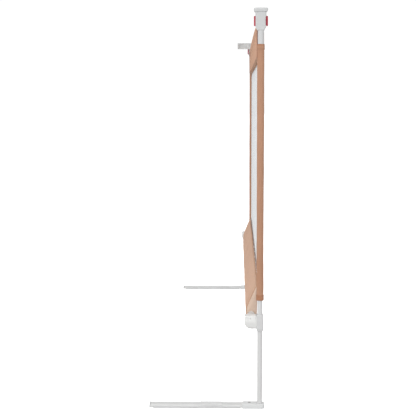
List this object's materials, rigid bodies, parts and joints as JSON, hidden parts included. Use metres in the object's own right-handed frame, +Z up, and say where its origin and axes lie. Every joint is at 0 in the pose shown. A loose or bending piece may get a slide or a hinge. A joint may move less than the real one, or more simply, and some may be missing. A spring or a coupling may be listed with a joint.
{
  "type": "bed safety rail",
  "caption": "Free-standing vertical-lift bed rail: L-shaped feet, telescoping posts, mesh and padded band on a sliding top beam, padded bumper on a height-set lower beam.",
  "frame": {"origin": "centre of the footprint at floor level, with the posts on the +X side", "axes": "+Z up, +Y along the rail, -X towards the mattress"},
  "size_m": [0.2964, 1.987, 1.002],
  "materials": {
    "white_paint": "satin white paint on steel tube",
    "white_plastic": "fine satin moulded plastic",
    "bracket_plastic": "semi-gloss moulded plastic",
    "red_plastic": "semi-gloss red moulded plastic",
    "grey_rubber": "matt light grey rubber",
    "zinc_steel": "zinc-plated steel",
    "inner_plastic": "matt grey moulded plastic",
    "sleeve_fabric": "brown woven polyester",
    "band_fabric": "light brown woven polyester with stitched seams",
    "bumper_fabric": "light brown woven polyester over foam",
    "mesh_fabric": "off-white breathable warp-knit mesh"
  },
  "bodies": {
    "base": {"foot_bar_a": "white_paint", "foot_bar_b": "white_paint", "foot_tip_cap_a": "white_plastic", "foot_tip_cap_b": "white_plastic", "foot_pad_a": "grey_rubber", "foot_pad_b": "grey_rubber", "foot_grip_a": "grey_rubber", "foot_grip_b": "grey_rubber", "corner_block_a": "white_plastic", "corner_block_b": "white_plastic", "corner_screw_a": "zinc_steel", "corner_screw_b": "zinc_steel", "lower_post_a": "white_paint", "lower_post_b": "white_paint", "post_top_plug_a": "inner_plastic", "post_top_plug_b": "inner_plastic", "lock_pin_a": "zinc_steel", "lock_pin_b": "zinc_steel", "post_sleeve_a": "sleeve_fabric", "post_sleeve_b": "sleeve_fabric", "mesh_panel_lower": "mesh_fabric"},
    "top_rail": {"upper_post_a": "white_paint", "upper_post_b": "white_paint", "post_bush_a": "inner_plastic", "post_bush_b": "inner_plastic", "cap_body_a": "white_plastic", "cap_body_b": "white_plastic", "cap_cover_a": "white_plastic", "cap_cover_b": "white_plastic", "cap_lid_a": "white_plastic", "cap_lid_b": "white_plastic", "rod_spring_a": "zinc_steel", "rod_spring_b": "zinc_steel", "top_beam_a": "white_paint", "top_beam_b": "white_paint", "top_beam_joiner": "zinc_steel", "top_band": "band_fabric", "mesh_panel_upper": "mesh_fabric", "link_base": "white_plastic", "link_pin": "zinc_steel"},
    "carriage": {"height_bracket_a": "bracket_plastic", "height_bracket_b": "bracket_plastic", "bracket_cover_a": "bracket_plastic", "bracket_cover_b": "bracket_plastic", "bracket_screw_a": "zinc_steel", "bracket_screw_b": "zinc_steel", "bottom_beam_a": "white_paint", "bottom_beam_b": "white_paint", "bottom_beam_joiner": "zinc_steel", "bumper": "bumper_fabric"},
    "corner_link": {"link_arm": "white_plastic"},
    "button_a_bed": {"release_button_a_bed": "red_plastic"},
    "button_a_room": {"release_button_a_room": "red_plastic"},
    "rod_a": {"release_rod_a": "zinc_steel"},
    "height_button_a": {"adjust_button_a": "red_plastic"},
    "button_b_bed": {"release_button_b_bed": "red_plastic"},
    "button_b_room": {"release_button_b_room": "red_plastic"},
    "rod_b": {"release_rod_b": "zinc_steel"},
    "height_button_b": {"adjust_button_b": "red_plastic"}
  },
  "joints": [
    {"name": "lift", "type": "slide", "parent": "base", "child": "top_rail", "axis": [0, 0, 1], "range_m": [-0.27, 0], "deforming": ["post_sleeve_a", "post_sleeve_b"]},
    {"name": "mattress_height", "type": "slide", "parent": "base", "child": "carriage", "axis": [0, 0, 1], "range_m": [-0.08, 0.02]},
    {"name": "press_a_bed", "type": "slide", "parent": "top_rail", "child": "button_a_bed", "axis": [1, 0, 0], "range_m": [0, 0.0035], "stiffness_N_per_m": 600, "springref_m": -0.002},
    {"name": "press_a_room", "type": "slide", "parent": "top_rail", "child": "button_a_room", "axis": [-1, 0, 0], "range_m": [0, 0.0035], "stiffness_N_per_m": 600, "springref_m": -0.002},
    {"name": "rod_lift_a", "type": "slide", "parent": "top_rail", "child": "rod_a", "axis": [0, 0, 1], "range_m": [0, 0.004], "deforming": ["rod_spring_a"]},
    {"name": "press_height_a", "type": "slide", "parent": "carriage", "child": "height_button_a", "axis": [0, -1, 0], "range_m": [0, 0.002], "stiffness_N_per_m": 600, "springref_m": -0.002},
    {"name": "press_b_bed", "type": "slide", "parent": "top_rail", "child": "button_b_bed", "axis": [1, 0, 0], "range_m": [0, 0.0035], "stiffness_N_per_m": 600, "springref_m": -0.002},
    {"name": "press_b_room", "type": "slide", "parent": "top_rail", "child": "button_b_room", "axis": [-1, 0, 0], "range_m": [0, 0.0035], "stiffness_N_per_m": 600, "springref_m": -0.002},
    {"name": "rod_lift_b", "type": "slide", "parent": "top_rail", "child": "rod_b", "axis": [0, 0, 1], "range_m": [0, 0.004], "deforming": ["rod_spring_b"]},
    {"name": "press_height_b", "type": "slide", "parent": "carriage", "child": "height_button_b", "axis": [0, 1, 0], "range_m": [0, 0.002], "stiffness_N_per_m": 600, "springref_m": -0.002},
    {"name": "link_swing", "type": "hinge", "parent": "top_rail", "child": "corner_link", "pos_m": [0.10675, 0.9526, 0.98975], "axis": [0, 0, 1], "range_deg": [0, 90]}
  ],
  "couplings": [
    {"joint": "rod_lift_a", "follows": "press_a_room", "ratio": 1.14},
    {"joint": "rod_lift_b", "follows": "press_b_room", "ratio": 1.14}
  ]
}
